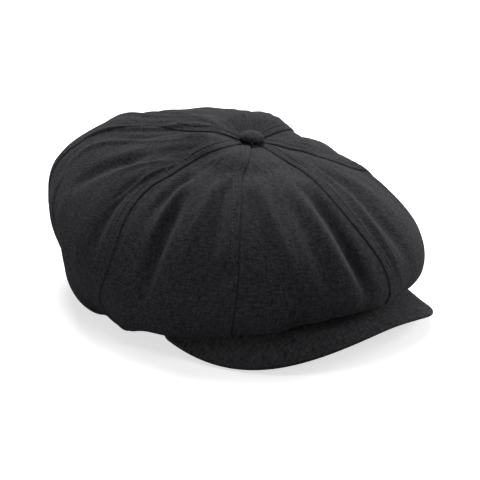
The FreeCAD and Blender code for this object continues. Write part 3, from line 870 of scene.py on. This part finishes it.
def build_bands():
    outer = HEADBAND_OFFSET + HEADBAND_THICKNESS
    headband = rounded_profile(HEADBAND_OFFSET, outer, HEADBAND_LIFT, BAND_HEIGHT, HEADBAND_STITCHING)
    piece = build_ring("headband_cloth", "crown_cloth", ["headband"], headband, 0.12)
    height = BAND_HEIGHT + SWEATBAND_RISE
    sweatband = rounded_profile(0.0, SWEATBAND_THICKNESS, 0.0, height)
    piece = build_ring("ribbed_sweatband", "sweatband_tape", ["sweatband"], sweatband, 0.08)


# ---------------------------------------------------------------- peak
def peak_rim(share):
    """The seam's place, the rim's x and y and how far the corner reaches, for shares from -1 to 1."""
    seam = band_point(np.radians(PEAK_SEAM_END) * share, PEAK_SEAM_OFFSET, -PEAK_SEAM_GAP)
    angle = math.pi / 2 * np.clip(share, -1, 1)
    rim_x = PEAK_HALF_WIDTH * np.sign(share) * np.abs(np.sin(angle)) ** PEAK_SQUARENESS
    rim_y = PEAK_WIDEST_Y - PEAK_REACH * np.clip(np.cos(angle), 0, 1) ** PEAK_SQUARENESS
    into = np.clip((np.abs(share) - PEAK_CORNER_START) / (1 - PEAK_CORNER_START), 0, 1)
    reach = PEAK_CORNER_REACH + (1 - PEAK_CORNER_REACH) * np.sqrt(1 - into * into)
    return seam, rim_x, rim_y, reach


def peak_places(share, out):
    seam, rim_x, rim_y, corner = peak_rim(share)
    reach = out * corner
    x = seam[..., 0] + (rim_x - seam[..., 0]) * reach
    y = seam[..., 1] + (rim_y - seam[..., 1]) * reach
    seam_step = seam[..., 2] - peak_top_height(seam[..., 0], seam[..., 1])
    z = peak_top_height(x, y) + seam_step * (1 - reach) ** 2
    return np.stack([x, y, z], -1)


def build_peak_cloth(name, node, top):
    """One cloth of the peak; at the rim both turn round the board's edge and meet half-way."""
    angles = np.radians(np.linspace(-90, 90, 181))
    share = np.sin(angles)[None, :] * 0.9995        # just short of the corners' last point
    out = np.concatenate([np.linspace(0.0, 0.92, 29), np.linspace(0.925, PEAK_EDGE, 13)])[:, None]
    flat = peak_places(share, out)
    half = PEAK_THICKNESS / 2
    if top:
        flat[..., 2] += PEAK_EDGE_ROLL * smooth_step((out - PEAK_EDGE_SEAM) / 0.012)
        flat[..., 2] -= PEAK_EDGE_DIP * np.exp(-((out - PEAK_EDGE_SEAM) / 0.008) ** 2)
    outer = flat.copy()
    if not top:
        outer[..., 2] -= PEAK_THICKNESS
    last = flat[-1]
    outward = unit((last - flat[-2]) * np.array((1, 1, 0)))
    turn = np.linspace(0, math.pi / 2, 6)[1:]
    rows = []
    for a in turn:
        fall = half - half * math.cos(a) if top else half + half * math.cos(a)
        step = outward * (half * math.sin(a) * 0.95)
        rows.append(last + step - np.array((0, 0, 1.0)) * fall)
    outer = np.concatenate([outer, np.stack(rows)], 0)
    ripple = np.array([noise.noise(Vector(p) * 0.03) for p in outer.reshape(-1, 3).tolist()])
    outer[..., 2] += PEAK_RIPPLE * ripple.reshape(outer.shape[:-1]) * (1 if top else 0.5)
    normals = grid_normals(outer)
    points_up = normals[5, len(angles) // 2, 2] > 0
    if points_up != top:
        normals = -normals
    inner = outer - normals * PEAK_CLOTH
    piece = cloth_object(name, outer, inner, outer[..., :2], not top)
    finish_piece(piece, "peak_cloth", "peak", [node])


def build_peak():
    build_peak_cloth("peak_top_twill", "peak_top_cloth", True)
    build_peak_cloth("peak_under_twill", "peak_under_cloth", False)
    build_peak_tape()


def build_peak_tape():
    """Seam tape that joins the headband to the peak; it is put on no body."""
    share = np.linspace(-1.0, 1.0, 97)
    phi = np.radians(PEAK_SEAM_END) * share
    heights = np.linspace(TAPE_ON_BAND, -PEAK_SEAM_GAP - TAPE_UNDER_SEAM, 13)
    offset = HEADBAND_OFFSET + HEADBAND_THICKNESS + TAPE_GAP
    outer = np.stack([band_point(phi, offset + TAPE_THICKNESS, h) for h in heights])
    inner = np.stack([band_point(phi, offset, h) for h in heights])
    piece = cloth_object("peak_seam_tape", outer, inner, cloth_uvs(outer))
    finish_piece(piece, "crown_cloth", None)
    start = band_point(0.0, offset, TAPE_FIXED) * MM
    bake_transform(piece)


# ---------------------------------------------------------------- button
def build_button():
    """Covered button: twill pulled over a dome and gathered under it."""
    turns = 128
    squash = 1 - BUTTON_EDGE_HEIGHT / BUTTON_HEIGHT
    # radius, height and how strongly the cloth is gathered, from the hem to the top
    outline = [(BUTTON_HEM_RADIUS, BUTTON_HEM_HEIGHT, 0.0)]
    outline.append((BUTTON_TUCK_RADIUS, BUTTON_HEM_HEIGHT, 0.6))
    for a in np.radians(np.linspace(-60, 90, 24)).tolist():
        if a < 0:
            radius = BUTTON_RADIUS - BUTTON_EDGE_RADIUS * (1 - math.cos(a))
            height = BUTTON_EDGE_RADIUS * math.sin(a)
        else:
            radius = max(BUTTON_RADIUS * math.cos(a), 0.02)
            height = BUTTON_HEIGHT * math.sin(a)
        outline.append((radius, max(0.0, height * squash + BUTTON_EDGE_HEIGHT), max(0.0, -a)))
    frame_matrix = Matrix.Translation(BUTTON_CENTRE) @ Matrix.Rotation(BUTTON_LEAN, 4, "X")
    vertices = []
    uvs = []
    for radius, height, gathered in outline:
        for k in range(turns):
            turn = 2 * math.pi * k / turns
            pleat = 0.16 * math.sin(turn * 17) * math.sin(turn * 5 + 1) * (0.3 + gathered)
            around = Vector((math.cos(turn), math.sin(turn), 0))
            soft = 0.12 * noise.noise(around * 2.2 + Vector((0, 0, height * 0.3)))
            local = around * (radius + (pleat + soft) * min(1.0, radius / 4))
            vertices.append(tuple(frame_matrix @ (local + Vector((0, 0, height)))))
            uvs.append(tuple(local.xy))
    faces = grid_faces(len(outline), turns, closed=True)
    tip = len(vertices)
    vertices.append(tuple(frame_matrix @ Vector((0, 0, BUTTON_HEIGHT))))
    uvs.append((0.0, 0.0))
    last = (len(outline) - 1) * turns
    faces += [[last + k, last + (k + 1) % turns, tip] for k in range(turns)]
    piece = new_object("button_twill", vertices, faces, uvs)
    solid = piece.modifiers.new("cloth", "SOLIDIFY")
    solid.thickness = BUTTON_CLOTH * MM
    solid.offset = -1
    apply_modifiers(piece)
    finish_piece(piece, "crown_cloth", "cap", ["button_cover"])


def apply_modifiers(piece):
    bpy.context.view_layer.update()
    graph = bpy.context.evaluated_depsgraph_get()
    mesh = bpy.data.meshes.new_from_object(piece.evaluated_get(graph))
    piece.modifiers.clear()
    piece.data = mesh


# ---------------------------------------------------------------- carried-over CAD nodes
def dress_cad_nodes():
    """The hidden and metal pieces keep their CAD shape and get their own material."""
    slots = {part["node"]: part["material_slot"] for part in frame["record"]["subparts"]}
    for name, node in frame["nodes"].items():
        node.data.materials.clear()
        node.data.materials.append(MATERIALS[slots[name]])


# ---------------------------------------------------------------- floor, light and camera
FLOOR_SIDE = 6000.0
FLOOR_WHITE = 0.60           # what the camera sees of the floor, which also glows, as a swept
FLOOR_GLOW = 0.67            # and evenly lit studio floor does
FLOOR_BOUNCE = 0.36          # and how much light it throws back on the cap
SKY_WHITE = 1.0              # what the camera sees of the sky
SKY_LIGHT = 0.17             # and how much of it lights the cap

# Each light's place, size and power in watts; all of them point at LIGHT_TARGET.
LIGHT_TARGET = (0, 0, 60)
LIGHTS = {
    "key_behind": ((400, 560, 1130), (800, 600), 27.0),
    "right_side": ((950, -620, 480), (500, 500), 10.5),
    "left_rim": ((-1150, 0, 150), (500, 400), 3.2),
    "front_fill": ((-250, -500, 1500), (700, 600), 4.8),
}

CAMERA_AZIMUTH = math.radians(-43.4)
CAMERA_ELEVATION = math.radians(18.7)
CAMERA_DISTANCE = 1300.0
CAMERA_TARGET = (4.4, 0.2, 48.7)
CAMERA_LENS = 125.8


def build_stage():
    """The floor: white to the camera, darker to the light that comes back from it."""
    corners = [(x * FLOOR_SIDE, y * FLOOR_SIDE, 0) for x, y in ((-1, -1), (1, -1), (1, 1), (-1, 1))]
    floor = new_object("floor", corners, [[0, 1, 2, 3]])
    material, shader = new_material("pale_floor", 0.9)
    shader.inputs["Emission Color"].default_value = (1, 1, 1, 1)
    seen = add_node(material, "ShaderNodeLightPath").outputs["Is Camera Ray"]
    bounce = add_node(material, "ShaderNodeMix", {
        "Factor": seen, "A": FLOOR_BOUNCE, "B": FLOOR_WHITE}, data_type="FLOAT").outputs[0]
    material.node_tree.links.new(bounce, shader.inputs["Base Color"])
    glow = math_node(material, "MULTIPLY", seen, FLOOR_GLOW)
    material.node_tree.links.new(glow, shader.inputs["Emission Strength"])
    floor.data.materials.append(material)


def add_light(name, place, size, power):
    """Soft rectangular light at a place in millimetres, turned to the cap."""
    data = bpy.data.lights.new(name, "AREA")
    data.shape = "RECTANGLE"
    data.size, data.size_y = size[0] * MM, size[1] * MM
    data.energy = power
    light = bpy.data.objects.new(name, data)
    bpy.context.scene.collection.objects.link(light)
    light.location = Vector(place) * MM
    aim = (Vector(LIGHT_TARGET) - Vector(place)).normalized()
    light.rotation_mode = "QUATERNION"
    light.rotation_quaternion = aim.to_track_quat("-Z", "Y")


def build_lights():
    world = bpy.data.worlds.new("studio")
    bpy.context.scene.world = world
    world.use_nodes = True
    background = world.node_tree.nodes["Background"]
    background.inputs["Color"].default_value = (1, 1, 1, 1)
    ray = world.node_tree.nodes.new("ShaderNodeLightPath")
    strength = world.node_tree.nodes.new("ShaderNodeMapRange")
    strength.inputs["To Min"].default_value = SKY_LIGHT
    strength.inputs["To Max"].default_value = SKY_WHITE
    world.node_tree.links.new(ray.outputs["Is Camera Ray"], strength.inputs["Value"])
    world.node_tree.links.new(strength.outputs["Result"], background.inputs["Strength"])
    for name, (place, size, power) in LIGHTS.items():
        add_light(name, place, size, power)


def build_camera():
    """Three-quarter view from the wearer's right front, slightly from above."""
    back = Vector((
        math.sin(CAMERA_AZIMUTH) * math.cos(CAMERA_ELEVATION),
        -math.cos(CAMERA_AZIMUTH) * math.cos(CAMERA_ELEVATION),
        math.sin(CAMERA_ELEVATION),
    ))
    data = bpy.data.cameras.new("camera")
    data.lens = CAMERA_LENS
    data.sensor_width = 36.0
    data.clip_start = 0.05
    camera = bpy.data.objects.new("camera", data)
    bpy.context.scene.collection.objects.link(camera)
    camera.location = (Vector(CAMERA_TARGET) + back * CAMERA_DISTANCE) * MM
    camera.rotation_mode = "QUATERNION"
    camera.rotation_quaternion = (-back).to_track_quat("-Z", "Y")
    bpy.context.scene.camera = camera


def main():
    dress_cad_nodes()
    build_crown()
    build_bands()
    build_peak()
    build_button()
    build_stage()
    build_lights()
    build_camera()
    bpy.context.scene.view_settings.view_transform = "Standard"


main()
